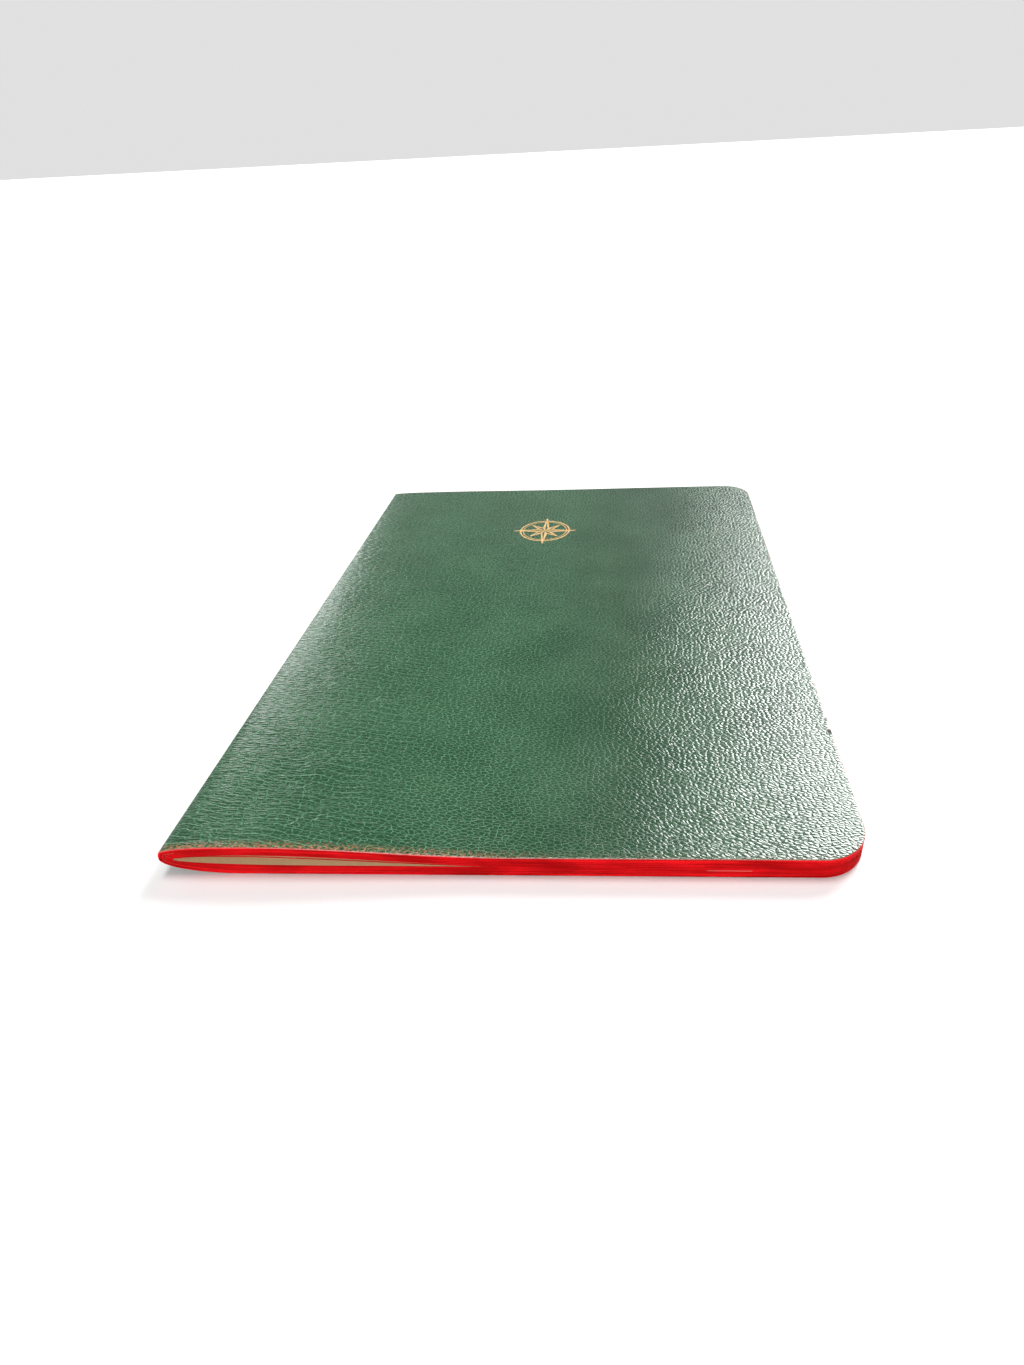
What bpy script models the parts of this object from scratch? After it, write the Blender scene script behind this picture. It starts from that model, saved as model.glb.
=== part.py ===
"""Pilot logbook: one gathering of folded sheets sewn into a soft leather cover.

The closed book lies on its back cover.  X runs across it from the spine to the
fore edge, Y along it from the tail to the head, and Z is up.  The origin is on
the table under the middle of the closed book.

The leather is one wrap that bends along two lines, so it is modelled as three
pieces: the back cover, the spine and the front cover.  Opening the book rolls
the spine over its lower outer edge and turns the front cover, with the front
half of every sheet, about the line where the spine's leather ends on top.  A
quarter turn of each lays the front cover on the table beside the back cover.
"""
import math

import bmesh
import bpy

MM = 0.001

# The trimmed, closed book.
BOOK_WIDTH = 148.0 * MM
BOOK_LENGTH = 210.0 * MM
CORNER_RADIUS = 10.0 * MM
CORNER_STEPS = 8

# The layers, from the outside in, and the air left between two of them.
LEATHER = 1.0 * MM
PASTEDOWN = 0.12 * MM
LEAF = 0.10 * MM
SHEETS = 12
AIR = 0.02 * MM

# The spine: how far its leather reaches in over and under the sheets, the
# radius of its two outer edges and the flat kept beyond it, the least radius of
# a bend inside, and the cut that parts the spine from the covers.
SPINE_REACH = 2.5 * MM
SPINE_EDGE_RADIUS = 1.8 * MM
SPINE_EDGE_FLAT = 0.05 * MM
SPINE_INNER_RADIUS_MIN = 0.1 * MM
SPINE_EDGE_STEPS = 6
HINGE_CUT = 0.3 * MM

# The sewing thread lies along the back of the folds, inside the spine.
THREAD_DIAMETER = 0.4 * MM
THREAD_SIDES = 8
THREAD_END_MARGIN = 10.0 * MM

# The gold foil mark on the front cover, a plain compass star in a round recess.
MARK_DIAMETER = 23.0 * MM
MARK_FROM_SPINE = 68.0 * MM
MARK_FROM_HEAD = 43.0 * MM
MARK_SHORT_POINT_SHARE = 0.56
MARK_NOTCH_SHARE = 0.26
MARK_POINTS = 8
FOIL = 0.08 * MM
FOIL_CLEARANCE = 0.03 * MM
RECESS_DEPTH = 0.2 * MM
RECESS_SIDE_CLEARANCE = 0.3 * MM
RECESS_SIDES = 32

# Sizes that follow from the ones above.
SPINE_X = -BOOK_WIDTH / 2
FORE_EDGE_X = BOOK_WIDTH / 2
TAIL_Y = -BOOK_LENGTH / 2
HEAD_Y = BOOK_LENGTH / 2
LEAF_PITCH = LEAF + AIR
BOARD = LEATHER + AIR + PASTEDOWN + AIR
BOOK_THICKNESS = 2 * BOARD + 2 * SHEETS * LEAF_PITCH - AIR
PANEL_X = SPINE_X + SPINE_REACH + HINGE_CUT / 2
SPINE_END_X = SPINE_X + SPINE_REACH - HINGE_CUT / 2

LEATHER_GREEN = (0.030, 0.105, 0.065, 1.0)
SPINE_GREEN = (0.026, 0.092, 0.057, 1.0)
ENDPAPER_CREAM = (0.80, 0.74, 0.60, 1.0)
LEAF_CREAM = (0.86, 0.81, 0.69, 1.0)
THREAD_WHITE = (0.82, 0.80, 0.74, 1.0)
FOIL_GOLD = (0.83, 0.62, 0.25, 1.0)


def clear_scene():
    """Take away whatever objects the scene starts with."""
    for old in list(bpy.data.objects):
        bpy.data.objects.remove(old, do_unlink=True)


def add_axis(name, x, z, parent=None):
    """An empty on a bending line of the leather, which runs along Y."""
    axis = bpy.data.objects.new(name, None)
    bpy.context.collection.objects.link(axis)
    axis.location = (x, 0.0, z)
    if parent is not None:
        axis.parent = parent
        axis.location = (x - parent.location.x, 0.0, z - parent.location.z)
    bpy.context.view_layer.update()
    return axis


def add_piece(name, bm, colour, roughness, metallic=0.0, axis=None):
    """Make one named object from a finished bmesh, in its own material."""
    bmesh.ops.recalc_face_normals(bm, faces=bm.faces)
    mesh = bpy.data.meshes.new(name)
    if axis is not None:
        bmesh.ops.translate(bm, verts=bm.verts, vec=-axis.matrix_world.translation)
    bm.to_mesh(mesh)
    bm.free()
    piece = bpy.data.objects.new(name, mesh)
    bpy.context.collection.objects.link(piece)
    piece.parent = axis
    material = bpy.data.materials.new(name + "_finish")
    material.use_nodes = True
    shader = material.node_tree.nodes["Principled BSDF"]
    shader.inputs["Base Color"].default_value = colour
    shader.inputs["Roughness"].default_value = roughness
    shader.inputs["Metallic"].default_value = metallic
    mesh.materials.append(material)
    return piece


def extruded(outline, direction):
    """A closed prism: the outline's face pushed along a direction."""
    bm = bmesh.new()
    face = bm.faces.new([bm.verts.new(point) for point in outline])
    pushed = bmesh.ops.extrude_face_region(bm, geom=[face])
    moved = [item for item in pushed["geom"] if isinstance(item, bmesh.types.BMVert)]
    bmesh.ops.translate(bm, verts=moved, vec=direction)
    return bm


def arc(centre_x, centre_y, radius, start_degrees, steps):
    """Points of a quarter circle, turning anticlockwise from its start."""
    points = []
    for step in range(steps + 1):
        angle = math.radians(start_degrees + 90.0 * step / steps)
        points.append((centre_x + radius * math.cos(angle), centre_y + radius * math.sin(angle)))
    return points


def panel(inner_x, bottom_z, thickness):
    """A flat layer of the book: square at the fold, two round fore-edge corners."""
    corner_x = FORE_EDGE_X - CORNER_RADIUS
    outline = [(inner_x, TAIL_Y)]
    outline += arc(corner_x, TAIL_Y + CORNER_RADIUS, CORNER_RADIUS, -90.0, CORNER_STEPS)
    outline += arc(corner_x, HEAD_Y - CORNER_RADIUS, CORNER_RADIUS, 0.0, CORNER_STEPS)
    outline.append((inner_x, HEAD_Y))
    return extruded([(x, y, bottom_z) for x, y in outline], (0.0, 0.0, thickness))


def spine_channel():
    """The leather over the folds: an upright wall with its two edges rounded."""
    outer = min(SPINE_EDGE_RADIUS, SPINE_END_X - SPINE_X - SPINE_EDGE_FLAT)
    inner = max(outer - LEATHER, SPINE_INNER_RADIUS_MIN)
    low_z = outer
    high_z = BOOK_THICKNESS - outer
    wall_x = SPINE_X + outer
    profile = [(SPINE_END_X, BOOK_THICKNESS)]
    profile += arc(wall_x, high_z, outer, 90.0, SPINE_EDGE_STEPS)
    profile += arc(wall_x, low_z, outer, 180.0, SPINE_EDGE_STEPS)
    profile += [(SPINE_END_X, 0.0), (SPINE_END_X, LEATHER)]
    inside_x = SPINE_X + LEATHER + inner
    profile += reversed(arc(inside_x, LEATHER + inner, inner, 180.0, SPINE_EDGE_STEPS))
    inside_z = BOOK_THICKNESS - LEATHER - inner
    profile += reversed(arc(inside_x, inside_z, inner, 90.0, SPINE_EDGE_STEPS))
    profile.append((SPINE_END_X, BOOK_THICKNESS - LEATHER))
    return extruded([(x, TAIL_Y, z) for x, z in profile], (0.0, BOOK_LENGTH, 0.0))


def thread():
    """The long run of sewing thread behind the folds."""
    bm = bmesh.new()
    length = BOOK_LENGTH - 2 * THREAD_END_MARGIN
    radius = THREAD_DIAMETER / 2
    made = bmesh.ops.create_cone(
        bm, cap_ends=True, segments=THREAD_SIDES, radius1=radius, radius2=radius, depth=length)
    for vert in made["verts"]:
        vert.co.y, vert.co.z = vert.co.z, -vert.co.y
    middle_x = (SPINE_X + LEATHER + SPINE_END_X) / 2
    bmesh.ops.translate(bm, verts=bm.verts, vec=(middle_x, 0.0, BOOK_THICKNESS / 2))
    return bm


def mark_centre():
    """The middle of the foil mark, on the cover."""
    return SPINE_X + MARK_FROM_SPINE, HEAD_Y - MARK_FROM_HEAD


def compass_star():
    """The foil: a star of eight points, every second one short."""
    centre_x, centre_y = mark_centre()
    long_point = MARK_DIAMETER / 2
    radii = (long_point, long_point * MARK_NOTCH_SHARE,
             long_point * MARK_SHORT_POINT_SHARE, long_point * MARK_NOTCH_SHARE)
    bottom_z = BOOK_THICKNESS - RECESS_DEPTH + FOIL_CLEARANCE
    outline = []
    for corner in range(2 * MARK_POINTS):
        angle = math.pi * corner / MARK_POINTS
        radius = radii[corner % len(radii)]
        x = centre_x + radius * math.cos(angle)
        y = centre_y + radius * math.sin(angle)
        outline.append((x, y, bottom_z))
    return extruded(outline, (0.0, 0.0, FOIL))


def cut_recess(cover, axis):
    """Press the round recess for the foil into the front cover."""
    centre_x, centre_y = mark_centre()
    radius = MARK_DIAMETER / 2 + RECESS_SIDE_CLEARANCE
    bm = bmesh.new()
    bmesh.ops.create_cone(
        bm, cap_ends=True, segments=RECESS_SIDES, radius1=radius, radius2=radius,
        depth=2 * RECESS_DEPTH)
    bmesh.ops.translate(bm, verts=bm.verts, vec=(centre_x, centre_y, BOOK_THICKNESS))
    bmesh.ops.translate(bm, verts=bm.verts, vec=-axis.matrix_world.translation)
    mesh = bpy.data.meshes.new("recess_cutter")
    bm.to_mesh(mesh)
    bm.free()
    cutter = bpy.data.objects.new("recess_cutter", mesh)
    bpy.context.collection.objects.link(cutter)
    cutter.parent = axis
    cutter.hide_render = True
    cutter.display_type = "WIRE"
    recess = cover.modifiers.new("recess", "BOOLEAN")
    recess.operation = "DIFFERENCE"
    recess.object = cutter


def build_covers(spine_axis, cover_axis):
    """The three leather pieces and the two pastedowns."""
    top_z = BOOK_THICKNESS
    add_piece("back_cover", panel(PANEL_X, 0.0, LEATHER), LEATHER_GREEN, 0.42)
    add_piece("spine_cover", spine_channel(), SPINE_GREEN, 0.40, axis=spine_axis)
    front = add_piece("front_cover", panel(PANEL_X, top_z - LEATHER, LEATHER),
                      LEATHER_GREEN, 0.42, axis=cover_axis)
    cut_recess(front, cover_axis)
    back_lining = panel(PANEL_X, LEATHER + AIR, PASTEDOWN)
    add_piece("back_pastedown", back_lining, ENDPAPER_CREAM, 0.75)
    front_lining = panel(PANEL_X, top_z - LEATHER - AIR - PASTEDOWN, PASTEDOWN)
    add_piece("front_pastedown", front_lining, ENDPAPER_CREAM, 0.75, axis=cover_axis)


def build_sheets(cover_axis):
    """The folded sheets, outermost first; each half lies deeper than the last."""
    for sheet in range(SHEETS):
        inner_x = PANEL_X + (sheet + 1) * LEAF_PITCH
        depth = BOARD + sheet * LEAF_PITCH
        name = f"sheet_{sheet + 1:02d}"
        rear = panel(inner_x, depth, LEAF)
        add_piece(name + "_rear_leaf", rear, LEAF_CREAM, 0.85)
        front = panel(inner_x, BOOK_THICKNESS - depth - LEAF, LEAF)
        add_piece(name + "_front_leaf", front, LEAF_CREAM, 0.85, axis=cover_axis)


def build_details(spine_axis, cover_axis):
    """The sewing thread, which stays with the spine, and the foil mark."""
    sewing = add_piece("sewing_thread", thread(), THREAD_WHITE, 0.8, axis=spine_axis)
    sewing.data.shade_smooth()
    sewing.data.set_sharp_from_angle(angle=math.radians(50.0))
    add_piece("cover_mark", compass_star(), FOIL_GOLD, 0.3, metallic=1.0, axis=cover_axis)


def build_book():
    """The whole logbook, closed."""
    clear_scene()
    spine_axis = add_axis("spine_hinge_axis", SPINE_X, 0.0)
    cover_axis = add_axis("cover_hinge_axis", SPINE_X + SPINE_REACH, BOOK_THICKNESS,
                          parent=spine_axis)
    build_covers(spine_axis, cover_axis)
    build_sheets(cover_axis)
    build_details(spine_axis, cover_axis)
    bpy.context.view_layer.update()


build_book()
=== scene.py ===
# %% [markdown]
# # A pilot's logbook in green leather
# The real book is one soft cover of grained leather, cut flush with a single gathering
# of folded sheets that is sewn through its fold. All the cut edges are stained red.
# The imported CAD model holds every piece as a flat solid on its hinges. The cells below
# lay the same pieces as they lie in the used book, where the gathering stands a little
# open near the spine, and give each one its finish.

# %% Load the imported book
import math
import random

import bpy
import bmesh
import numpy as np
from mathutils import Matrix, Vector, noise


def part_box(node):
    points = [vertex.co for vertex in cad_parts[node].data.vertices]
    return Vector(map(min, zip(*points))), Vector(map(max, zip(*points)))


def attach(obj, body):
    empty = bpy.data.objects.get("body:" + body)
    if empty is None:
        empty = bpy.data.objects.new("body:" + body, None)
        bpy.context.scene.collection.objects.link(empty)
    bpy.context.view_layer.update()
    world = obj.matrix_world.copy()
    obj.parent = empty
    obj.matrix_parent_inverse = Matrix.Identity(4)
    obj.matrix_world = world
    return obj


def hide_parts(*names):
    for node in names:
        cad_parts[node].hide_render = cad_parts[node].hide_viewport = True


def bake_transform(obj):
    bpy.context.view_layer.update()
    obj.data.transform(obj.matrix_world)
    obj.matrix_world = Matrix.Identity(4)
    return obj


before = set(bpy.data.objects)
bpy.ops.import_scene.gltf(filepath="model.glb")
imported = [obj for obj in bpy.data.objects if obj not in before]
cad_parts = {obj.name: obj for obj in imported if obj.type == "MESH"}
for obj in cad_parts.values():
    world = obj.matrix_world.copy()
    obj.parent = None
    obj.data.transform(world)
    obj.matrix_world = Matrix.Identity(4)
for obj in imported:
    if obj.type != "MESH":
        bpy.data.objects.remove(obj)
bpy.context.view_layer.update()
MM = 0.001
print("pieces in the model:", len(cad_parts))

# %% [markdown]
# ## Sizes
# Every size is read back from the model, so the looks can't drift from it. The round
# corner is measured as well: it is what is missing at the end of the straight fore edge.

# %% Measure the model
SPINE_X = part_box("spine_cover")[0].x
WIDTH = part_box("front_cover")[1].x - SPINE_X
HALF_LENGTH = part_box("front_cover")[1].y
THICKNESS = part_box("front_cover")[1].z
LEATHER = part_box("back_cover")[1].z
straight_run = max(v.co.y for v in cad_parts["back_cover"].data.vertices
                   if v.co.x > SPINE_X + WIDTH - 0.01 * MM)
CORNER = HALF_LENGTH - straight_run
SHEETS = sum(name.endswith("_rear_leaf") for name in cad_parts)
MIDDLE = THICKNESS / 2.0 - 0.01 * MM        # depth of the innermost page
print(f"{WIDTH / MM:.1f} x {2 * HALF_LENGTH / MM:.1f} x {THICKNESS / MM:.2f} mm,",
      f"corner {CORNER / MM:.1f} mm, {SHEETS} sheets")

# %% [markdown]
# ## How the closed book lies
# Cut across, each layer is a long U lying on its side. Its fold stands above the table,
# the rear half settles to the table in a long easy curve, and the front half turns over
# in a short one. Near the tail the book has been opened so often that the front half
# stays lifted, and the innermost sheets sag out of it. All of it is written as height
# over distance from the spine, which keeps any two layers the same distance apart.

# %% Heights of a layer
FOLD_INSET = 1.15               # how much further in the fold of a deeper layer lies
TAIL_LIFT = 2.6 * MM            # how far the front half stands open at the tail
FOLD_HEIGHT_HEAD = 2.75 * MM    # height of the folds at the head
FOLD_HEIGHT_GAIN = 1.3 * MM     # and how much more at the tail
SAGGING = 2                     # sheets that hang out of the lifted half
SAG_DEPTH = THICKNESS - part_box(f"sheet_{SHEETS + 1 - SAGGING:02d}_front_leaf")[1].z - 0.01 * MM
SAG_SHARE = 0.15                # how much of the lift they lose
PARED = 0.26 * MM               # leather taken off the outside by the spine
TURN_REACH = 0.6 * MM           # how quickly a front half turns over at its fold
LIFT_RISE = 4.5 * MM
LIFT_FULL = 18.0 * MM           # from here the lift eases off,
LIFT_FALL = 58.0 * MM           # and it is gone this much further on


def quarter(t):
    """A quarter of an ellipse, from 1 with an upright start to 0 with a level end."""
    t = np.clip(t, 0.0, 1.0)
    return 1.0 - np.sqrt(np.maximum(0.0, 1.0 - (1.0 - t) ** 2))


def openness(y):
    """How much of the tail's lift is left this far along the book."""
    along = np.clip((y + HALF_LENGTH) / (2.0 * HALF_LENGTH), 0.0, 1.0)
    return 0.12 + 0.88 * (1.0 - along) ** 1.5


def fold_height(y):
    """Height of all the folds above the table."""
    return FOLD_HEIGHT_HEAD + FOLD_HEIGHT_GAIN * openness(y)


def lift(u, y):
    """How far the front half stands off the rear half."""
    rise = 0.3 + 0.7 * (1.0 - np.exp(-u / LIFT_RISE))
    fall = np.cos(0.5 * np.pi * np.clip((u - LIFT_FULL) / LIFT_FALL, 0.0, 1.0)) ** 2
    return TAIL_LIFT * openness(y) * rise * fall


def pared(u, y, depth):
    """How much thinner the hide is pared towards the spine, on its outside."""
    share = np.clip(1.0 - u / (13.0 * MM), 0.0, 1.0) ** 2
    return PARED * share * (1.0 - openness(y)) * max(0.0, 1.0 - depth / LEATHER)


def layer_height(front, depth, u, y):
    """Height of the surface at this depth from the book's outside."""
    fold = FOLD_INSET * depth
    height = fold_height(y)
    if not front:
        reach = 17.0 * MM + 13.0 * MM * depth / (THICKNESS / 2.0)
        return depth + (height - depth) * quarter((u - fold) / reach)
    away = np.clip((u - 8.0 * MM) / (22.0 * MM), 0.0, 1.0)
    sag = 1.0 - (0.0 if depth < SAG_DEPTH else SAG_SHARE) * away
    level = THICKNESS - depth + lift(u, y) * sag - pared(u, y, depth)
    turned = THICKNESS - depth + lift(fold, y) - pared(fold, y, depth)
    return level - (turned - height) * quarter((u - fold) / TURN_REACH)


for place, y in (("tail", -HALF_LENGTH), ("head", HALF_LENGTH)):
    opening = layer_height(True, MIDDLE, 30 * MM, y) - layer_height(False, MIDDLE, 30 * MM, y)
    print(f"opening of the middle 30 mm from the spine, {place}: {opening / MM:.2f} mm")

# %% [markdown]
# ## The grid of a layer
# Leather, endpapers and sheets share one outline, so one grid serves them all: columns
# run along the book and rows across it. Columns crowd together at the fold, where the
# layer turns, and again in the round corner. Rows crowd at the head and the tail, where
# the edge stain soaks in.

# %% Columns and rows
FOLD_BAND = 24.0 * MM


def columns(step, turn_count, corner_count):
    """Distances from the fold, close together at the turn and in the corner."""
    turn = FOLD_BAND * np.linspace(0.0, 1.0, turn_count) ** 3
    middle = np.arange(FOLD_BAND, WIDTH - CORNER, step)
    angle = np.linspace(0.0, 0.5 * np.pi, corner_count)
    return np.concatenate([turn[:-1], middle, WIDTH - CORNER + CORNER * np.sin(angle)])


def rows(step, from_edge):
    """Shares of the half length from tail (-1) to head (1)."""
    near = np.array(from_edge) / HALF_LENGTH
    inner = 1.0 - near[-1]
    middle = np.linspace(-inner, inner, int(round(2.0 * inner * HALF_LENGTH / step)))
    return np.concatenate([-1.0 + near[:-1], middle, (1.0 - near[:-1])[::-1]])


def half_width(u, inset):
    """Half of the length that the outline leaves at this distance from the spine."""
    corner = np.clip(u - (WIDTH - CORNER), 0.0, CORNER)
    return HALF_LENGTH - CORNER + np.sqrt(np.maximum(0.0, CORNER ** 2 - corner ** 2)) - inset


def edge_distance(u, y):
    """Distance to the nearest cut edge, the round corner included."""
    along = np.abs(y) - (HALF_LENGTH - CORNER)
    across = u - (WIDTH - CORNER)
    in_corner = CORNER - np.hypot(np.maximum(along, 0.0), np.maximum(across, 0.0))
    straight = np.minimum(HALF_LENGTH - np.abs(y), WIDTH - u)
    return np.maximum(0.0, np.where((along > 0.0) & (across > 0.0), in_corner, straight))


print("columns and rows of the leather:",
      len(columns(1.6 * MM, 34, 16)), len(rows(1.8 * MM, [0.0, 1.0 * MM])))

# %% [markdown]
# ## From grid to solid
# A layer becomes a closed solid: an outer face, an inner face and a rim all round,
# only left open at the fold where its other half carries on. Each point also keeps its
# place on the flattened sheet and its distance to the cut edge. The finishes read those
# two, so they stay put on the material when the book opens and the mesh bends.

# %% Face and rim of a layer


def face_points(front, depth, across, along, inset, shape=None):
    """Points of one face, with their places on the flattened layer."""
    fold = FOLD_INSET * depth
    u = fold + across * (WIDTH - inset - fold) / WIDTH
    u_grid = np.repeat(u[:, None], len(along), axis=1)
    y_grid = half_width(u, inset)[:, None] * along[None, :]
    z_grid = layer_height(front, depth, u_grid, y_grid)
    steps = np.hypot(np.diff(u_grid, axis=0), np.diff(z_grid, axis=0))
    flat = np.vstack([np.zeros((1, len(along))), np.cumsum(steps, axis=0)])
    if shape is not None:
        z_grid = z_grid + shape(u_grid, y_grid)
    side = 1.0 if front else -1.0
    points = np.stack([SPINE_X + u_grid, y_grid, z_grid], axis=-1)
    lay = np.stack([side * flat, y_grid, np.full_like(u_grid, depth)], axis=-1)
    return points, lay, edge_distance(u_grid, y_grid)


def rim_path(count_u, count_y, closed):
    """Grid places round the cut edges, from the fold at the tail to the fold at the head."""
    path = [(i, 0) for i in range(count_u)]
    path += [(count_u - 1, j) for j in range(1, count_y)]
    path += [(i, count_y - 1) for i in range(count_u - 2, -1, -1)]
    if closed:
        path += [(0, j) for j in range(count_y - 2, -1, -1)]
    return path


print("rim points of a small layer:", len(rim_path(4, 3, False)))

# %% [markdown]
# ## Building the solid
# The two faces share one grid, so the same list of quads serves both, turned over for the
# inside. The rim is built in strips between them, more of them for thick leather than for
# paper. A rear half is a front half seen from below, so all its faces are turned over.

# %% Make a layer


def make_layer(name, front, depth, thickness, across, along, inset=0.0, strips=1,
               shape=None, finishes=()):
    """One half of a layer as a solid, with its face and rim finishes."""
    outer = face_points(front, depth, across, along, inset, shape)
    inner = face_points(front, depth + thickness, across, along, inset)
    count_u, count_y = outer[2].shape
    face_size = count_u * count_y
    points = [outer[0].reshape(-1, 3), inner[0].reshape(-1, 3)]
    lays = [outer[1].reshape(-1, 3), inner[1].reshape(-1, 3)]
    edges = [outer[2].ravel(), inner[2].ravel()]
    index = np.arange(face_size).reshape(count_u, count_y)
    quads = np.stack([index[:-1, :-1], index[1:, :-1], index[1:, 1:], index[:-1, 1:]], axis=-1)
    quads = quads.reshape(-1, 4)
    faces = [quads, face_size + quads[:, ::-1]]
    closed = across[0] > 0.0
    path = rim_path(count_u, count_y, closed)
    path_index = np.array([i * count_y + j for i, j in path])
    rings = [path_index]
    for strip in range(1, strips):
        share = strip / strips
        for stack in (points, lays):
            stack.append(stack[0][path_index] * (1 - share) + stack[1][path_index] * share)
        edges.append(np.zeros(len(path_index)))
        rings.append(2 * face_size + (strip - 1) * len(path_index) + np.arange(len(path_index)))
    rings.append(face_size + path_index)
    for upper, lower in zip(rings[:-1], rings[1:]):
        faces.append(np.stack([lower[:-1], lower[1:], upper[1:], upper[:-1]], axis=-1))
    on_face = len(faces[0]) + len(faces[1])
    faces = np.concatenate(faces)
    if not front:
        faces = faces[:, ::-1]
    mesh = bpy.data.meshes.new(name)
    mesh.from_pydata(np.concatenate(points).tolist(), [], faces.tolist())
    place = mesh.attributes.new("lay", "FLOAT_VECTOR", "POINT")
    place.data.foreach_set("vector", np.concatenate(lays).astype(np.float32).ravel())
    from_edge = mesh.attributes.new("from_edge", "FLOAT", "POINT")
    from_edge.data.foreach_set("value", np.concatenate(edges).astype(np.float32))
    for finish in finishes:
        mesh.materials.append(finish)
    slots = np.zeros(len(faces), np.int32)
    slots[on_face:] = 1
    mesh.polygons.foreach_set("material_index", slots)
    mesh.polygons.foreach_set("use_smooth", np.ones(len(faces), bool))
    mesh.set_sharp_from_angle(angle=math.radians(50.0))
    mesh.validate()
    piece = bpy.data.objects.new(name, mesh)
    bpy.context.collection.objects.link(piece)
    return piece


print("layer builder ready")

# %% [markdown]
# ## Helpers for finishes
# Node trees are long to write by hand. These helpers add a node with its settings and
# values, join a value that is a socket with a link, and start a group or a material.

# %% Node helpers


def add_node(tree, kind, values=None, **settings):
    """A node with its settings; a value that is a socket is linked instead of set."""
    made = tree.nodes.new("ShaderNode" + kind)
    for name, setting in settings.items():
        setattr(made, name, setting)
    for socket, value in (values or {}).items():
        if isinstance(value, bpy.types.NodeSocket):
            tree.links.new(value, made.inputs[socket])
        else:
            made.inputs[socket].default_value = value
    return made


def calc(tree, operation, first, second=0.0):
    """One Math node."""
    return add_node(tree, "Math", {0: first, 1: second}, operation=operation).outputs[0]


def ramp(tree, value, low, high, start=0.0, end=1.0):
    """A smooth step of a value from low to high."""
    made = add_node(tree, "MapRange", {"Value": value, "From Min": low, "From Max": high,
                                       "To Min": start, "To Max": end},
                    interpolation_type="SMOOTHSTEP")
    return made.outputs["Result"]


def blend_colour(tree, share, first, second):
    """Mix two colours by a share."""
    made = tree.nodes.new("ShaderNodeMix")
    made.data_type = "RGBA"
    for socket, value in ((0, share), (6, first), (7, second)):
        if isinstance(value, bpy.types.NodeSocket):
            tree.links.new(value, made.inputs[socket])
        else:
            made.inputs[socket].default_value = value
    return made.outputs[2]


def start_group(name, inputs, outputs):
    """A shader node group with named inputs and outputs."""
    tree = bpy.data.node_groups.new(name, "ShaderNodeTree")
    for label, kind, value in inputs:
        socket = tree.interface.new_socket(label, in_out="INPUT", socket_type=kind)
        if value is not None:
            socket.default_value = value
    for label, kind in outputs:
        tree.interface.new_socket(label, in_out="OUTPUT", socket_type=kind)
    return tree, tree.nodes.new("NodeGroupInput").outputs, tree.nodes.new("NodeGroupOutput")


def start_material(name):
    """An empty material with its Principled shader and the place on the flat layer."""
    material = bpy.data.materials.new(name)
    material.use_nodes = True
    tree = material.node_tree
    place = add_node(tree, "Attribute", attribute_name="lay").outputs["Vector"]
    from_edge = add_node(tree, "Attribute", attribute_name="from_edge").outputs["Fac"]
    return material, tree, tree.nodes["Principled BSDF"], place, from_edge


def use_group(tree, group, values):
    """A group placed in a tree."""
    made = tree.nodes.new("ShaderNodeGroup")
    made.node_tree = group
    for socket, value in values.items():
        if isinstance(value, bpy.types.NodeSocket):
            tree.links.new(value, made.inputs[socket])
        else:
            made.inputs[socket].default_value = value
    return made.outputs


def finish_surface(tree, shader, colour, roughness, height=None, distance=0.0):
    """Join colour, roughness and relief to the shader."""
    tree.links.new(colour, shader.inputs["Base Color"])
    tree.links.new(roughness, shader.inputs["Roughness"])
    if height is not None:
        bump = add_node(tree, "Bump", {"Height": height, "Distance": distance, "Strength": 1.0})
        tree.links.new(bump.outputs["Normal"], shader.inputs["Normal"])


print("helpers ready")

# %% [markdown]
# ## The grain of the hide
# Goatskin is covered in pebbles a little under a millimetre wide with creases between
# them. A Voronoi texture's distance to its cell edges is just such a network. A slow and
# a quick noise push it about so that nothing lines up. Towards the spine the hide is
# pulled across the book, so the place is squeezed there and the cells come out several
# times as long as they are wide. Over them lie the long creases: lines that wander side
# by side, and a wider net where the lines break off. The foil lies in the same grain, so
# this is a group.

# %% Grain group
V = "NodeSocketVector"
F = "NodeSocketFloat"
C = "NodeSocketColor"

CELL_SHARE = 0.64           # a cell's width over its length far from the spine
PULL_REACH = 45.0 * MM      # how far from the fold the hide is drawn out
PULL_AMOUNT = 20.0 * MM     # and how much of its width it has lost there
SLANT = 0.16                # the grain runs a little down towards the fore edge
LINE_SPACING = 0.9 * MM
LINE_WANDER = 6.0 * MM

grain, given, out = start_group(
    "hide_grain",
    [("Place", V, None), ("Pebble", F, 0.78 * MM), ("Long Creases", F, 1.0)],
    [("Height", F), ("Crease", F), ("Cloud", F)])


def shaken(tree, place, scale, amount, detail):
    """A place pushed about by a noise, and the noise."""
    wave = add_node(tree, "TexNoise", {"Vector": place, "Scale": scale, "Detail": detail})
    centred = add_node(tree, "VectorMath", {0: wave.outputs["Color"], 1: (0.5, 0.5, 0.5)},
                       operation="SUBTRACT").outputs[0]
    push = add_node(tree, "VectorMath", {0: centred, "Scale": amount},
                    operation="SCALE").outputs[0]
    moved = add_node(tree, "VectorMath", {0: place, 1: push}, operation="ADD").outputs[0]
    return moved, wave.outputs["Fac"]


def cell_edges(tree, place, stretch, scale):
    """Distance to the edge of the cell, in cells stretched along the width."""
    stretched = add_node(tree, "VectorMath", {0: place, 1: stretch},
                         operation="MULTIPLY").outputs[0]
    return add_node(tree, "TexVoronoi", {"Vector": stretched, "Scale": scale},
                    feature="DISTANCE_TO_EDGE", voronoi_dimensions="2D").outputs["Distance"]


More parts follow.
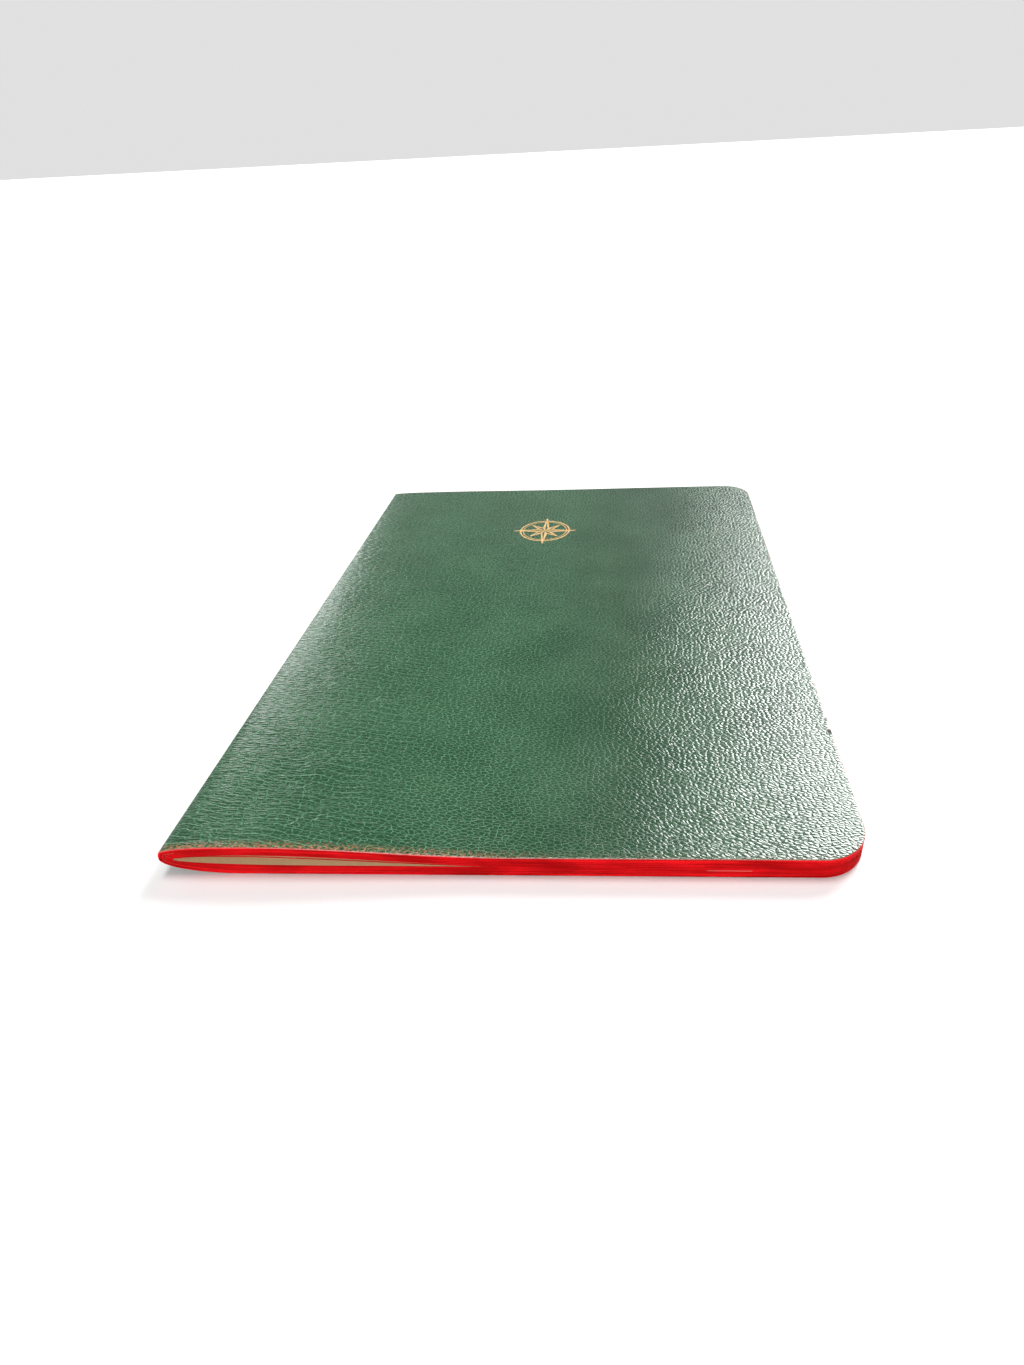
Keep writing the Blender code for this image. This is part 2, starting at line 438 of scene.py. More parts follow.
moved, cloud = shaken(grain, given["Place"], 45.0, 2.2 * MM, 1.0)
moved, ignored = shaken(grain, moved, 420.0, 0.7 * MM, 1.0)
axes = add_node(grain, "SeparateXYZ", {0: moved}).outputs
out_here = calc(grain, "ABSOLUTE", axes[0])
pulled = calc(grain, "EXPONENT", calc(grain, "MULTIPLY", out_here, -1.0 / PULL_REACH))
pulled = calc(grain, "MULTIPLY", calc(grain, "SUBTRACT", 1.0, pulled), PULL_AMOUNT)
drawn_x = calc(grain, "SUBTRACT", calc(grain, "MULTIPLY", out_here, CELL_SHARE), pulled)
drawn_x = calc(grain, "MULTIPLY", drawn_x, calc(grain, "SIGN", axes[0]))
drawn_y = calc(grain, "ADD", axes[1], calc(grain, "MULTIPLY", axes[0], SLANT))
drawn = add_node(grain, "CombineXYZ", {0: drawn_x, 1: drawn_y}).outputs[0]
per_metre = calc(grain, "DIVIDE", 1.0, given["Pebble"])
pebble_cells = cell_edges(grain, drawn, (1.0, 1.0, 0.0), per_metre)
long_cells = cell_edges(grain, drawn, (0.5, 0.70, 0.0), per_metre)
print("nodes that place the cells:", len(grain.nodes))

# %% [markdown]
# ## Long creases
# A line at every multiple of a spacing is only a PINGPONG of the place along the book.
# Adding a gentle noise to the place first makes the lines wander and pinch together.
# A second noise says where they stop, and there the wider net of cells takes over.

# %% Long creases and height
wander_place = add_node(grain, "VectorMath", {0: given["Place"], 1: (60.0, 62.0, 0.0)},
                        operation="MULTIPLY").outputs[0]
wander = add_node(grain, "TexNoise", {"Vector": wander_place, "Scale": 1.0,
                                      "Detail": 1.0}).outputs["Fac"]
wandered = calc(grain, "ADD", drawn_y, calc(grain, "MULTIPLY", wander, LINE_WANDER))
line_distance = calc(grain, "PINGPONG", wandered, LINE_SPACING)
broken = ramp(grain, add_node(grain, "TexNoise", {"Vector": given["Place"], "Scale": 130.0,
                                                  "Detail": 1.0}).outputs["Fac"], 0.34, 0.50)
parallel = calc(grain, "MULTIPLY", ramp(grain, line_distance, 0.03 * MM, 0.16 * MM, 1.0, 0.0),
                broken)
branching = calc(grain, "MULTIPLY", ramp(grain, long_cells, 0.01, 0.07, 1.0, 0.0),
                 calc(grain, "SUBTRACT", 1.0, broken))
long_crease = calc(grain, "MULTIPLY", calc(grain, "MAXIMUM", parallel, branching),
                   given["Long Creases"])
pebble_crease = ramp(grain, pebble_cells, 0.01, 0.12, 1.0, 0.0)
quiet = calc(grain, "SUBTRACT", 1.0, calc(grain, "MULTIPLY", given["Long Creases"], 0.35))
crease = calc(grain, "MAXIMUM", calc(grain, "MULTIPLY", pebble_crease, quiet), long_crease)
dome = calc(grain, "POWER", ramp(grain, pebble_cells, -0.12, 0.5), 0.8)
pores = add_node(grain, "TexNoise", {"Vector": given["Place"], "Scale": 2600.0, "Detail": 2.0})
height = calc(grain, "MULTIPLY", dome, quiet)
height = calc(grain, "SUBTRACT", height, calc(grain, "MULTIPLY", long_crease, 0.6))
height = calc(grain, "ADD", height, calc(grain, "MULTIPLY", pores.outputs["Fac"], 0.05))
grain.links.new(height, out.inputs["Height"])
grain.links.new(crease, out.inputs["Crease"])
grain.links.new(cloud, out.inputs["Cloud"])
print("grain nodes:", len(grain.nodes))

# %% [markdown]
# ## Red stain
# The edges are coloured after the book is cut, all in one go, so leather and paper are
# the same red. What tells them apart is streaks: the stain sits a little darker and
# lighter from leaf to leaf, and runs along the edge. The group turns the place along the
# edge and the depth in the stack into those streaks.

# %% Stain group
DARK_STAIN = (0.38, 0.001, 0.002, 1.0)
BRIGHT_STAIN = (0.86, 0.006, 0.010, 1.0)

stain, given, out = start_group(
    "edge_stain",
    [("Place", V, None), ("Dark", C, DARK_STAIN), ("Bright", C, BRIGHT_STAIN),
     ("Streaks", F, 7000.0)],
    [("Color", C), ("Height", F), ("Streak", F)])
stretch = add_node(stain, "CombineXYZ", {0: 40.0, 1: 40.0, 2: given["Streaks"]}).outputs[0]
streak_place = add_node(stain, "VectorMath", {0: given["Place"], 1: stretch},
                        operation="MULTIPLY").outputs[0]
streaks = add_node(stain, "TexNoise", {"Vector": streak_place, "Scale": 1.0, "Detail": 3.0,
                                       "Roughness": 0.6}).outputs["Fac"]
blotches = add_node(stain, "TexNoise", {"Vector": given["Place"], "Scale": 90.0,
                                        "Detail": 3.0}).outputs["Fac"]
both = calc(stain, "ADD", calc(stain, "MULTIPLY", streaks, 0.65),
            calc(stain, "MULTIPLY", blotches, 0.35))
depth_of_colour = ramp(stain, both, 0.40, 0.58)
stain.links.new(blend_colour(stain, depth_of_colour, given["Dark"], given["Bright"]),
                out.inputs["Color"])
stain.links.new(streaks, out.inputs["Height"])
stain.links.new(depth_of_colour, out.inputs["Streak"])
print("stain nodes:", len(stain.nodes))

# %% [markdown]
# ## Paper
# Writing paper is felted fibre: soft flecks of slightly different cream, and a faint
# cockle that only a low light shows. Sheets and endpapers share it.

# %% Paper group
PAGE_LIGHT = (0.82, 0.64, 0.41, 1.0)
PAGE_SHADE = (0.76, 0.56, 0.34, 1.0)
ENDPAPER_LIGHT = (0.76, 0.66, 0.46, 1.0)
ENDPAPER_SHADE = (0.70, 0.59, 0.40, 1.0)

paper, given, out = start_group(
    "paper_fibre",
    [("Place", V, None), ("Light", C, PAGE_LIGHT), ("Shade", C, PAGE_SHADE)],
    [("Color", C), ("Height", F), ("Fleck", F)])
fibres = add_node(paper, "TexNoise", {"Vector": given["Place"], "Scale": 1900.0, "Detail": 4.0,
                                      "Roughness": 0.7}).outputs["Fac"]
cockle = add_node(paper, "TexNoise", {"Vector": given["Place"], "Scale": 45.0,
                                      "Detail": 1.0}).outputs["Fac"]
fleck = ramp(paper, calc(paper, "ADD", calc(paper, "MULTIPLY", fibres, 0.8),
                         calc(paper, "MULTIPLY", cockle, 0.2)), 0.38, 0.62)
paper.links.new(blend_colour(paper, fleck, given["Shade"], given["Light"]), out.inputs["Color"])
paper.links.new(calc(paper, "ADD", calc(paper, "MULTIPLY", fibres, 0.15), cockle),
                out.inputs["Height"])
paper.links.new(fleck, out.inputs["Fleck"])
print("paper nodes:", len(paper.nodes))

# %% [markdown]
# ## The leather's dye and painted crease highlight
# The dye is a dark green. Along the creases a pale green is painted in as a painted highlight, for
# light caught by the crease edges, brighter in some painted glint spots than in others. So the creases
# read as light lines where no light glances off the pebbles, and the painted highlight fades out
# towards the fore edge. Long creases are strong by the spine, where the hide bends, and die out towards
# the fore edge.

# %% Leather dye and painted crease highlight
DYE_DEEP = (0.009, 0.057, 0.020, 1.0)
DYE_LIGHT = (0.015, 0.074, 0.027, 1.0)
# Painted highlight colour, laid along the creases for light caught by the crease edges
CREASE_HIGHLIGHT = (0.15, 0.42, 0.22, 1.0)

leather, tree, shader, place, from_edge = start_material("green_leather")
axes = add_node(tree, "SeparateXYZ", {0: place}).outputs
from_fold = calc(tree, "ABSOLUTE", axes[0])
to_tail = calc(tree, "ADD", axes[1], HALF_LENGTH)
long_share = calc(tree, "MULTIPLY", ramp(tree, from_fold, 24 * MM, 70 * MM, 0.9, 0.0),
                  ramp(tree, to_tail, 60 * MM, 150 * MM, 1.0, 0.45))
hide = use_group(tree, grain, {"Place": place, "Long Creases": long_share})
hue = ramp(tree, hide["Cloud"], 0.3, 0.7)
dye = blend_colour(tree, hue, DYE_DEEP, DYE_LIGHT)
# Painted highlight along the creases, strong up to 60 mm from the fold and nearly gone by 112 mm
crease_highlight = calc(tree, "MULTIPLY", hide["Crease"],
              ramp(tree, from_fold, 60 * MM, 112 * MM, 0.56, 0.03))
# Painted glint spots: a fine noise makes the painted crease highlight brighter in some spots
glint_spots = add_node(tree, "TexNoise", {"Vector": place, "Scale": 1100.0, "Detail": 1.0}).outputs["Fac"]
crease_highlight = calc(tree, "MULTIPLY", crease_highlight, ramp(tree, glint_spots, 0.42, 0.62, 0.4, 1.15))
dye = blend_colour(tree, crease_highlight, dye, CREASE_HIGHLIGHT)
print("leather nodes so far:", len(tree.nodes))

# %% [markdown]
# ## The leather's wear and painted arris highlight
# At the tail a little of the red has crept onto the face between the pebbles, most of
# all by the spine. The stain reaches round the rubbed arris. There it is painted a paler red, a painted
# highlight for light caught by the rounded arris. One small nick in the fore edge shows the dull inside
# of the hide. Each of the three fades with the distance to the cut edge, so they follow the outline
# round its corners.

# %% Leather wear, painted arris highlight and relief
CREPT_RED = (0.55, 0.19, 0.09, 1.0)
# Painted highlight colour: the red of the stain, painted paler where the rounded arris catches the
# light
ARRIS_HIGHLIGHT = (0.70, 0.09, 0.08, 1.0)
NICK_DARK = (0.03, 0.04, 0.03, 1.0)
NICK_FROM_MIDDLE = 63 * MM      # from the book's middle towards the tail
PEBBLE_RELIEF = 0.062 * MM

speckle = add_node(tree, "TexNoise", {"Vector": place, "Scale": 1500.0, "Detail": 3.0}).outputs["Fac"]
tail_side = calc(tree, "MULTIPLY", ramp(tree, from_fold, 45 * MM, 95 * MM, 1.0, 0.12),
                 ramp(tree, to_tail, 3 * MM, 12 * MM, 1.0, 0.15))
creep = calc(tree, "MULTIPLY", ramp(tree, from_edge, 0.3 * MM, 2.8 * MM, 1.0, 0.0), tail_side)
creep = calc(tree, "MULTIPLY", creep, ramp(tree, speckle, 0.42, 0.66))
dye = blend_colour(tree, calc(tree, "MULTIPLY", creep, 0.75), dye, CREPT_RED)
# Painted highlight along the arris, strongest at the tail by the spine
arris_highlight = calc(tree, "MULTIPLY", ramp(tree, from_edge, 0.06 * MM, 0.24 * MM, 1.0, 0.0),
             ramp(tree, tail_side, 0.0, 1.0, 0.45, 1.0))
colour = blend_colour(tree, arris_highlight, dye, ARRIS_HIGHLIGHT)
nick = ramp(tree, calc(tree, "ABSOLUTE", calc(tree, "ADD", axes[1], NICK_FROM_MIDDLE)),
            0.5 * MM, 1.3 * MM, 1.0, 0.0)
nick = calc(tree, "MULTIPLY", nick, ramp(tree, from_edge, 0.6 * MM, 1.3 * MM, 1.0, 0.0))
nick = calc(tree, "MULTIPLY", nick, calc(tree, "GREATER_THAN", axes[0], 0.5 * WIDTH))
colour = blend_colour(tree, calc(tree, "MULTIPLY", nick, 0.85), colour, NICK_DARK)
shine = ramp(tree, hide["Cloud"], 0.25, 0.75, 0.19, 0.23)
shine = calc(tree, "ADD", shine, calc(tree, "MULTIPLY", hide["Crease"], 0.15))
shine = calc(tree, "ADD", shine, calc(tree, "MULTIPLY", nick, 0.65))
finish_surface(tree, shader, colour, shine, hide["Height"], PEBBLE_RELIEF)
shader.inputs["Specular IOR Level"].default_value = 0.9
print("leather nodes:", len(tree.nodes))

# %% [markdown]
# ## Stained edges
# The edge is the stain alone over a fine streaky relief, and dull. The leather's edge is
# the same with coarser fibres. One pale scratch runs along the pages at the tail, where
# the edge has rubbed on something hard. It is broken up by the streaks' own noise.

# %% Edge finishes
SCRATCH_NEAR, SCRATCH_FAR = 113 * MM, 122 * MM      # from the fold, on the rear half
SCRATCH_TOP, SCRATCH_LOW = 1.80 * MM, 1.96 * MM     # depth in the stack
SCRATCH_PALE = (0.80, 0.42, 0.38, 1.0)


def within(tree, value, low, high):
    """1 between two limits."""
    return calc(tree, "MULTIPLY", calc(tree, "GREATER_THAN", value, low),
                calc(tree, "LESS_THAN", value, high))


def edge_finish(name, streaks, relief):
    """A red cut edge with its own size of streak, and the scratch at the tail."""
    material, tree, shader, place, from_edge = start_material(name)
    red = use_group(tree, stain, {"Place": place, "Streaks": streaks})
    axes = add_node(tree, "SeparateXYZ", {0: place}).outputs
    scratch = calc(tree, "MULTIPLY", within(tree, axes[0], -SCRATCH_FAR, -SCRATCH_NEAR),
                   within(tree, axes[2], SCRATCH_TOP, SCRATCH_LOW))
    scratch = calc(tree, "MULTIPLY", scratch, calc(tree, "LESS_THAN", axes[1], -100 * MM))
    scratch = calc(tree, "MULTIPLY", scratch, ramp(tree, red["Height"], 0.40, 0.60, 0.1, 0.8))
    colour = blend_colour(tree, scratch, red["Color"], SCRATCH_PALE)
    dull = ramp(tree, red["Streak"], 0.0, 1.0, 0.75, 0.6)
    finish_surface(tree, shader, colour, dull, red["Height"], relief)
    shader.inputs["Specular IOR Level"].default_value = 0.04
    return material


leather_edge = edge_finish("stained_leather_edge", 2200.0, 0.06 * MM)
page_edge = edge_finish("stained_page_edge", 9000.0, 0.03 * MM)
print("edge finishes:", leather_edge.name, page_edge.name)

# %% [markdown]
# ## Pages and endpapers
# The pages carry the faint ruling of a flight log: one line under each entry and a set
# of columns, drawn where a coordinate passes a multiple of the spacing. The endpapers
# are plain. The stain has crept a hair's breadth into each of them from the edge.

# %% Pages and endpapers
LINE_PITCH = 7.0 * MM
COLUMN_PITCH = 17.0 * MM
LINE_WIDTH = 0.26 * MM
INK = (0.16, 0.30, 0.30, 1.0)
CREPT_STAIN = (0.50, 0.004, 0.006, 1.0)


def ruled(tree, value, pitch, width):
    """1 on a line at each multiple of the pitch."""
    turn = calc(tree, "WRAP", value, pitch)
    tree.nodes[-1].inputs[2].default_value = 0.0
    off = calc(tree, "ABSOLUTE", calc(tree, "SUBTRACT", turn, 0.5 * pitch))
    return ramp(tree, off, 0.5 * width, 0.9 * width, 1.0, 0.0)


def paper_finish(name, lined, light, shade):
    """Cream paper with the stain at its margin, and ruling where it is lined."""
    material, tree, shader, place, from_edge = start_material(name)
    felt = use_group(tree, paper, {"Place": place, "Light": light, "Shade": shade})
    colour = felt["Color"]
    if lined:
        axes = add_node(tree, "SeparateXYZ", {0: place}).outputs
        across = calc(tree, "ABSOLUTE", axes[0])
        inside = calc(tree, "MULTIPLY", within(tree, across, 12 * MM, WIDTH - 8 * MM),
                      within(tree, axes[1], -HALF_LENGTH + 10 * MM, HALF_LENGTH - 14 * MM))
        body = calc(tree, "LESS_THAN", axes[1], HALF_LENGTH - 28 * MM)
        entries = calc(tree, "MULTIPLY", ruled(tree, axes[1], LINE_PITCH, LINE_WIDTH), body)
        marks = calc(tree, "MAXIMUM", entries,
                     ruled(tree, across, COLUMN_PITCH, LINE_WIDTH * 1.5))
        ink = calc(tree, "MULTIPLY", calc(tree, "MULTIPLY", marks, inside), 0.6)
        colour = blend_colour(tree, ink, colour, INK)
    seep = ramp(tree, from_edge, 0.08 * MM, 0.15 * MM, 1.0, 0.0)
    colour = blend_colour(tree, seep, colour, CREPT_STAIN)
    dull = ramp(tree, felt["Fleck"], 0.0, 1.0, 0.86, 0.78)
    finish_surface(tree, shader, colour, dull, felt["Height"], 0.05 * MM)
    shader.inputs["Specular IOR Level"].default_value = 0.25
    return material


page_paper = paper_finish("page_paper", True, PAGE_LIGHT, PAGE_SHADE)
endpaper = paper_finish("endpaper", False, ENDPAPER_LIGHT, ENDPAPER_SHADE)
print("paper finishes:", page_paper.name, endpaper.name)

# %% [markdown]
# ## The cover
# The leather is one wrap, but the model turns it at two lines by the spine. It is made
# as a rear and a front half that meet along the fold. The outside swells and dips by a
# few hundredths of a millimetre, as a hide does, and its cut edge is rubbed round.

# %% Cover leather
TURN_GRID = columns(1.6 * MM, 40, 18)
ALONG_GRID = rows(1.7 * MM, [0.0, 0.06 * MM, 0.15 * MM, 0.3 * MM, 0.7 * MM, 1.4 * MM])
RUBBED = 0.28 * MM
SWELL = 0.02 * MM


def hide_swell(u, y):
    """Slow dips of the hide, never proud of the flat face."""
    waves = np.zeros_like(u)
    for i in range(u.shape[0]):
        for j in range(u.shape[1]):
            spot = Vector((u[i, j] * 70.0, y[i, j] * 55.0, 3.7))
            waves[i, j] = noise.noise(spot) + 0.5 * noise.noise(spot * 2.3)
    fade = np.clip((u - 2.0 * MM) / (10.0 * MM), 0.0, 1.0)
    return SWELL * fade * (waves - 1.0)


def rubbed_edge(u, y):
    """The drop of the face where its cut edge is worn round."""
    return -0.5 * RUBBED * quarter(edge_distance(u, y) / RUBBED)


def front_face(u, y):
    return hide_swell(u, y) + rubbed_edge(u, y)


def rear_face(u, y):
    return -rubbed_edge(u, y) - 0.5 * hide_swell(u, y)


def bend_near_fold(piece, front):
    """Bake the half's placement into its mesh; front and rear halves are treated alike."""
    if front:
        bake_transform(piece)
    else:
        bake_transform(piece)


cover_front = make_layer("cover_leather_front", True, 0.0, LEATHER, TURN_GRID, ALONG_GRID,
                         strips=4, shape=front_face, finishes=(leather, leather_edge))
cover_rear = make_layer("cover_leather_rear", False, 0.0, LEATHER, TURN_GRID, ALONG_GRID,
                        strips=4, shape=rear_face, finishes=(leather, leather_edge))
bend_near_fold(cover_front, True)
bend_near_fold(cover_rear, False)
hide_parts("front_cover", "spine_cover")
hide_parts("back_cover")
for piece in (cover_front, cover_rear):
    print(piece.name, len(piece.data.polygons), "faces")

# %% [markdown]
# ## Endpapers
# Inside each cover an endpaper is glued down, cut flush with the leather. Paper needs a
# coarser grid than leather, since its face is plain, but it turns at the same fold.

# %% Endpapers
LEAF_COLUMNS = columns(3.4 * MM, 34, 14)
LEAF_ROWS = rows(6.0 * MM, [0.0, 0.35 * MM, 0.9 * MM, 2.5 * MM])

for front, node, body in ((True, "front_pastedown", "front"), (False, "back_pastedown", "back")):
    low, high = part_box(node)
    depth = low.z if not front else THICKNESS - high.z
    start = low.x - SPINE_X
    across = np.concatenate([[start], LEAF_COLUMNS[LEAF_COLUMNS > start + 0.2 * MM]])
    lining = make_layer(node + "_paper", front, depth, high.z - low.z, across, LEAF_ROWS,
                        inset=0.02 * MM, finishes=(endpaper, page_edge))
    bend_near_fold(lining, front)
    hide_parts(node)
    print(lining.name, f"{depth / MM:.2f} mm deep")

# %% [markdown]
# ## Sheets
# The folded sheets follow, each in its two halves. No guillotine cuts every sheet alike,
# so each one is a few hundredths of a millimetre short, which is what draws the fine
# lines along the red edge.

# %% Sheets
MOST_SHORT = 0.07 * MM
cutting = random.Random(11)
for number in range(1, SHEETS + 1):
    short = cutting.uniform(0.0, 1.0) * MOST_SHORT
    for front, half in ((False, "rear"), (True, "front")):
        node = f"sheet_{number:02d}_{half}_leaf"
        low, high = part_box(node)
        depth = low.z if not front else THICKNESS - high.z
        leaf = make_layer(f"sheet_{number:02d}_{half}_paper", front, depth, high.z - low.z,
                          LEAF_COLUMNS, LEAF_ROWS, inset=short, finishes=(page_paper, page_edge))
        body = f"leaf_{number:02d}" if front else "back"
        bend_near_fold(leaf, front)
        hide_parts(node)
print("leaves:", 2 * SHEETS, "last depth", round(depth / MM, 3), "mm")

# %% [markdown]
# ## Sewing thread
# The gathering is sewn with one waxed thread through five holes in the fold. Inside the
# middle sheet the stitches lie in the gutter, and behind the folds the thread runs
# back the same way. It is a curve turned into a mesh, twisted like real thread by the
# finish. It rides on the spine.

# %% Thread finish
WAX_SHADE = (0.52, 0.48, 0.38, 1.0)
WAX_LIGHT = (0.83, 0.80, 0.70, 1.0)

thread_finish, tree, shader, place, from_edge = start_material("waxed_thread")
body_place = add_node(tree, "TexCoord").outputs["Object"]
strands = add_node(tree, "TexWave", {"Vector": body_place, "Scale": 900.0, "Distortion": 1.5,
                                     "Detail": 2.0}, wave_type="BANDS",
                   bands_direction="DIAGONAL").outputs["Fac"]
wax = blend_colour(tree, ramp(tree, strands, 0.2, 0.8), WAX_SHADE, WAX_LIGHT)
finish_surface(tree, shader, wax, ramp(tree, strands, 0.0, 1.0, 0.62, 0.5), strands, 0.05 * MM)
print("thread nodes:", len(tree.nodes))

# %% [markdown]
# ## The run of the thread
# The needle goes along inside the fold from hole to hole, and then back behind the folds.
# So each stitch starts and ends behind, at its two holes, and lies inside in between.

# %% Stitches
HOLES = [-80 * MM, -40 * MM, 0.0, 40 * MM, 80 * MM]
THREAD = 0.26 * MM
THREAD_SINKS = 0.16 * MM        # how far it lies below the height of the fold
inside_u = FOLD_INSET * MIDDLE + 0.55 * MM
behind_u = FOLD_INSET * (LEATHER + 0.10 * MM)
stitch_points = []
for nearer, further in zip(HOLES[:-1], HOLES[1:]):
    for share in (0.0, 0.02, 0.1, 0.3, 0.5, 0.7, 0.9, 0.98, 1.0):
        depth_in = behind_u if share in (0.0, 1.0) else inside_u
        stitch_points.append((depth_in, nearer + share * (further - nearer)))
for further, nearer in zip(HOLES[:0:-1], HOLES[-2::-1]):
    for share in (0.1, 0.5, 0.9):
        stitch_points.append((behind_u, further + share * (nearer - further)))
run = bpy.data.curves.new("sewing_run", "CURVE")
run.dimensions = "3D"
run.bevel_depth = THREAD / 2
run.bevel_resolution = 3
run.use_fill_caps = True
line = run.splines.new("POLY")
line.points.add(len(stitch_points) - 1)
for point, (u, y) in zip(line.points, stitch_points):
    point.co = (SPINE_X + u, y, fold_height(y) - THREAD_SINKS, 1.0)
held = bpy.data.objects.new("sewing_run", run)
bpy.context.collection.objects.link(held)
bpy.context.view_layer.update()
stitches = bpy.data.objects.new("sewing_stitches", bpy.data.meshes.new_from_object(held))
bpy.data.objects.remove(held)
bpy.context.collection.objects.link(stitches)
stitches.data.materials.append(thread_finish)
stitches.data.shade_smooth()
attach(stitches, "spine")
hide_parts("sewing_thread")
print("thread:", len(stitches.data.polygons), "faces")

# %% [markdown]
# ## Gilt foil
# The mark is foil pressed into the leather with a hot tool: flush, matt and a little
# broken where the grain dips. So the foil takes its relief from the hide's own grain,
# and lets the leather show where it has rubbed off in a crease.

# %% Foil finish
GILT_DARK = (0.60, 0.36, 0.14, 1.0)
GILT_BRIGHT = (0.86, 0.58, 0.27, 1.0)
BARE_HIDE = (0.05, 0.11, 0.06, 1.0)

foil, tree, shader, place, from_edge = start_material("gilt_foil")
hide = use_group(tree, grain, {"Place": place, "Long Creases": 0.1})
rub = add_node(tree, "TexNoise", {"Vector": place, "Scale": 700.0, "Detail": 3.0}).outputs["Fac"]
gilt = blend_colour(tree, ramp(tree, rub, 0.35, 0.65), GILT_DARK, GILT_BRIGHT)
bare = calc(tree, "MULTIPLY", ramp(tree, rub, 0.60, 0.68), hide["Crease"])
gilt = blend_colour(tree, bare, gilt, BARE_HIDE)
finish_surface(tree, shader, gilt, ramp(tree, rub, 0.3, 0.7, 0.42, 0.58), hide["Height"], 0.05 * MM)
shader.inputs["Metallic"].default_value = 0.55
print("foil nodes:", len(tree.nodes))

# %% [markdown]
# ## The mark
# A plain compass rose of eight points. Its two rings, the filled half of each point and
# the thin outline of the other half are all flat plates, which keeps every line crisp.

# %% Compass rose
low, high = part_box("cover_mark")
MARK_X = 0.5 * (low.x + high.x)
MARK_Y = 0.5 * (low.y + high.y)
LONG_POINT = 0.5 * (high.x - low.x)
SHORT_POINT = 0.62 * LONG_POINT
NOTCH = 0.24 * LONG_POINT
LINE = 0.62 * MM
FOIL_PROUD = 0.02 * MM


def spoke(radius, turns):
    """A point of the mark, an eighth of a turn at a time."""
    angle = 0.25 * math.pi * turns
    return Vector((radius * math.sin(angle), radius * math.cos(angle)))


def stroke(start, end, width):
    """The four corners of a straight line of foil."""
    along = (end - start).normalized()
    side = Vector((-along.y, along.x)) * (0.5 * width)
    return [start - side, end - side, end + side, start + side]


def ring_parts(radius, width, count):
    """Short plates that make a ring."""
    parts = []
    for k in range(count):
        a, b = 2 * math.pi * k / count, 2 * math.pi * (k + 1) / count
        parts.append([Vector((r * math.sin(t), r * math.cos(t)))
                      for r, t in ((radius, a), (radius, b), (radius - width, b), (radius - width, a))])
    return parts


plates = []
for turn in range(8):
    reach = LONG_POINT if turn % 2 == 0 else SHORT_POINT
    tip, left, right = spoke(reach, turn), spoke(NOTCH, turn - 0.5), spoke(NOTCH, turn + 0.5)
    plates.append([Vector((0.0, 0.0)), left, tip])
    plates.append(stroke(right, tip, LINE))
plates += ring_parts(0.82 * LONG_POINT, 0.60 * MM, 96)
plates += ring_parts(0.72 * LONG_POINT, 0.32 * MM, 96)
print("plates:", len(plates))

# %% [markdown]
# ## Pressing the foil
# The plates are joined, cut fine, given a thickness and then dropped onto the leather:
# each point takes the height of the cover's surface under it. The faces come out of these
# steps in an order that changes from run to run. So they are sorted by place at the end,
# and every run makes the same mesh.

# %% Press the foil
bm = bmesh.new()
for plate in plates:
    bm.faces.new([bm.verts.new((p.x, p.y, 0.0)) for p in plate])
bmesh.ops.remove_doubles(bm, verts=bm.verts, dist=0.002 * MM)
bmesh.ops.subdivide_edges(bm, edges=[e for e in bm.edges if e.calc_length() > 1.5 * MM], cuts=3,
                          use_grid_fill=True)
bmesh.ops.triangulate(bm, faces=bm.faces)
bmesh.ops.recalc_face_normals(bm, faces=bm.faces)
for face in bm.faces:
    if face.normal.z < 0.0:
        face.normal_flip()
pressed = bmesh.ops.extrude_face_region(bm, geom=list(bm.faces))
raised = [v for v in pressed["geom"] if isinstance(v, bmesh.types.BMVert)]
bmesh.ops.translate(bm, verts=raised, vec=(0.0, 0.0, 2 * FOIL_PROUD))
bmesh.ops.recalc_face_normals(bm, faces=bm.faces)
lays = []
for vert in bm.verts:
    u = np.array([[MARK_X + vert.co.x - SPINE_X]])
    y = np.array([[MARK_Y + vert.co.y]])
    surface = layer_height(True, 0.0, u, y) + front_face(u, y)
    vert.co = (SPINE_X + u[0, 0], y[0, 0], surface[0, 0] + vert.co.z - FOIL_PROUD)
    lays.append((u[0, 0], y[0, 0], 0.0))
in_order = sorted(bm.faces, key=lambda face: tuple(face.calc_center_median()))
rank = {face: number for number, face in enumerate(in_order)}
bm.faces.sort(key=lambda face: rank[face])
rose_mesh = bpy.data.meshes.new("compass_rose")
bm.to_mesh(rose_mesh)
bm.free()
place_layer = rose_mesh.attributes.new("lay", "FLOAT_VECTOR", "POINT")
place_layer.data.foreach_set("vector", np.array(lays, np.float32).ravel())
rose = bpy.data.objects.new("compass_rose", rose_mesh)
bpy.context.collection.objects.link(rose)
rose_mesh.materials.append(foil)
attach(rose, "front")
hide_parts("cover_mark")
print("rose:", len(rose_mesh.polygons), "faces")

# %% [markdown]
# ## Table
# The book lies on a plain white table, wide enough to fill any view of it.

# %% Table
bpy.ops.mesh.primitive_grid_add(size=40.0, x_subdivisions=4, y_subdivisions=4,
                                location=(0.0, 0.0, -0.05 * MM))
table = bpy.context.object
table.name = "table_top"
white = bpy.data.materials.new("white_table")
white.use_nodes = True
white.node_tree.nodes["Principled BSDF"].inputs["Base Color"].default_value = (0.98, 0.98, 0.98, 1.0)
white.node_tree.nodes["Principled BSDF"].inputs["Roughness"].default_value = 0.9
white.node_tree.nodes["Principled BSDF"].inputs["Specular IOR Level"].default_value = 0.1
table.data.materials.append(white)
print("table:", table.dimensions[:])

# %% [markdown]
# ## Light
# One broad light stands behind the book to the right, low enough to glance off the right
# side of the cover. A weaker one, low behind it to the left, catches the hide by the
# spine. The ceiling lights the table from above, so that the shadow stays close to the
# book, and a wide fill from the front brings out the red edge. The rest is a dim pale
# room, brighter near the horizon like the walls of a studio.

# %% Light
scene = bpy.context.scene


